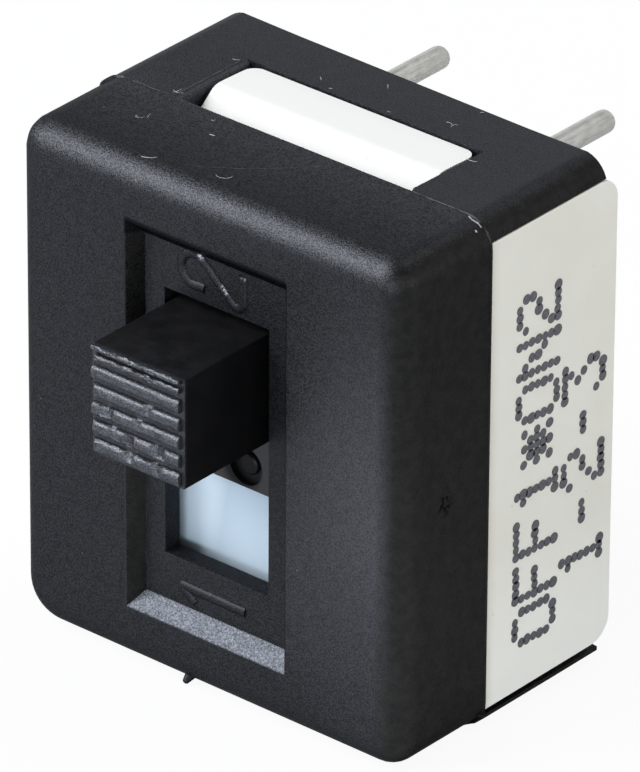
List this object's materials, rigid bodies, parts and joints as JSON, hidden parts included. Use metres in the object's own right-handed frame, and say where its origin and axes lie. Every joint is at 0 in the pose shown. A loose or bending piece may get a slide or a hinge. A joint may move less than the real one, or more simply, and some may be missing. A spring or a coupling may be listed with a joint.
{
  "type": "slide switch",
  "caption": "Subminiature slide switch for a circuit board: a square knob in a recessed slot, a black cover snapped over a white case, and round pins at the back.",
  "frame": {"origin": "middle of the six-pin pattern in the plane of the case's back face, which rests on the circuit board", "axes": "+Y the way the pins point, so -Y is the knob side; +X across the width; +Z along the knob's travel"},
  "size_m": [0.0114, 0.0135, 0.0128],
  "materials": {
    "cover_plastic": "fine spark-eroded grain",
    "case_plastic": "smooth moulded",
    "slider_plastic": "satin moulded",
    "pin_tin": "dull tin plating",
    "contact_silver": "silver plated",
    "contact_brass": "plain",
    "spring_steel": "bright drawn wire",
    "seal_resin": "cast resin"
  },
  "bodies": {
    "housing": {"cover": "cover_plastic", "case": "case_plastic", "seal": "seal_resin", "saddle_left": "contact_brass", "saddle_right": "contact_brass", "pin_left_top": "pin_tin", "pin_left_middle": "pin_tin", "pin_left_bottom": "pin_tin", "pin_right_top": "pin_tin", "pin_right_middle": "pin_tin", "pin_right_bottom": "pin_tin", "button_left_top": "contact_silver", "button_left_bottom": "contact_silver", "button_right_top": "contact_silver", "button_right_bottom": "contact_silver"},
    "sliding": {"slider": "slider_plastic", "spring_left": "spring_steel", "spring_right": "spring_steel", "plunger_left": "contact_brass", "plunger_right": "contact_brass"},
    "left_contact": {"rocker_left": "contact_silver"},
    "right_contact": {"rocker_right": "contact_silver"}
  },
  "joints": [
    {"name": "knob_slide", "type": "slide", "parent": "housing", "child": "sliding", "axis": [0, 0, 1], "range_m": [-0.0035, 0]},
    {"name": "left_rock", "type": "hinge", "parent": "housing", "child": "left_contact", "pos_m": [-0.0026, -0.003, 0], "axis": [1, 0, 0], "range_deg": [0, 10]},
    {"name": "right_rock", "type": "hinge", "parent": "housing", "child": "right_contact", "pos_m": [0.0026, -0.003, 0], "axis": [1, 0, 0], "range_deg": [0, 10]}
  ],
  "couplings": [
    {"joint": "left_rock", "follows": "knob_slide", "rad_per_m": -49.86},
    {"joint": "right_rock", "follows": "knob_slide", "rad_per_m": -49.86}
  ]
}
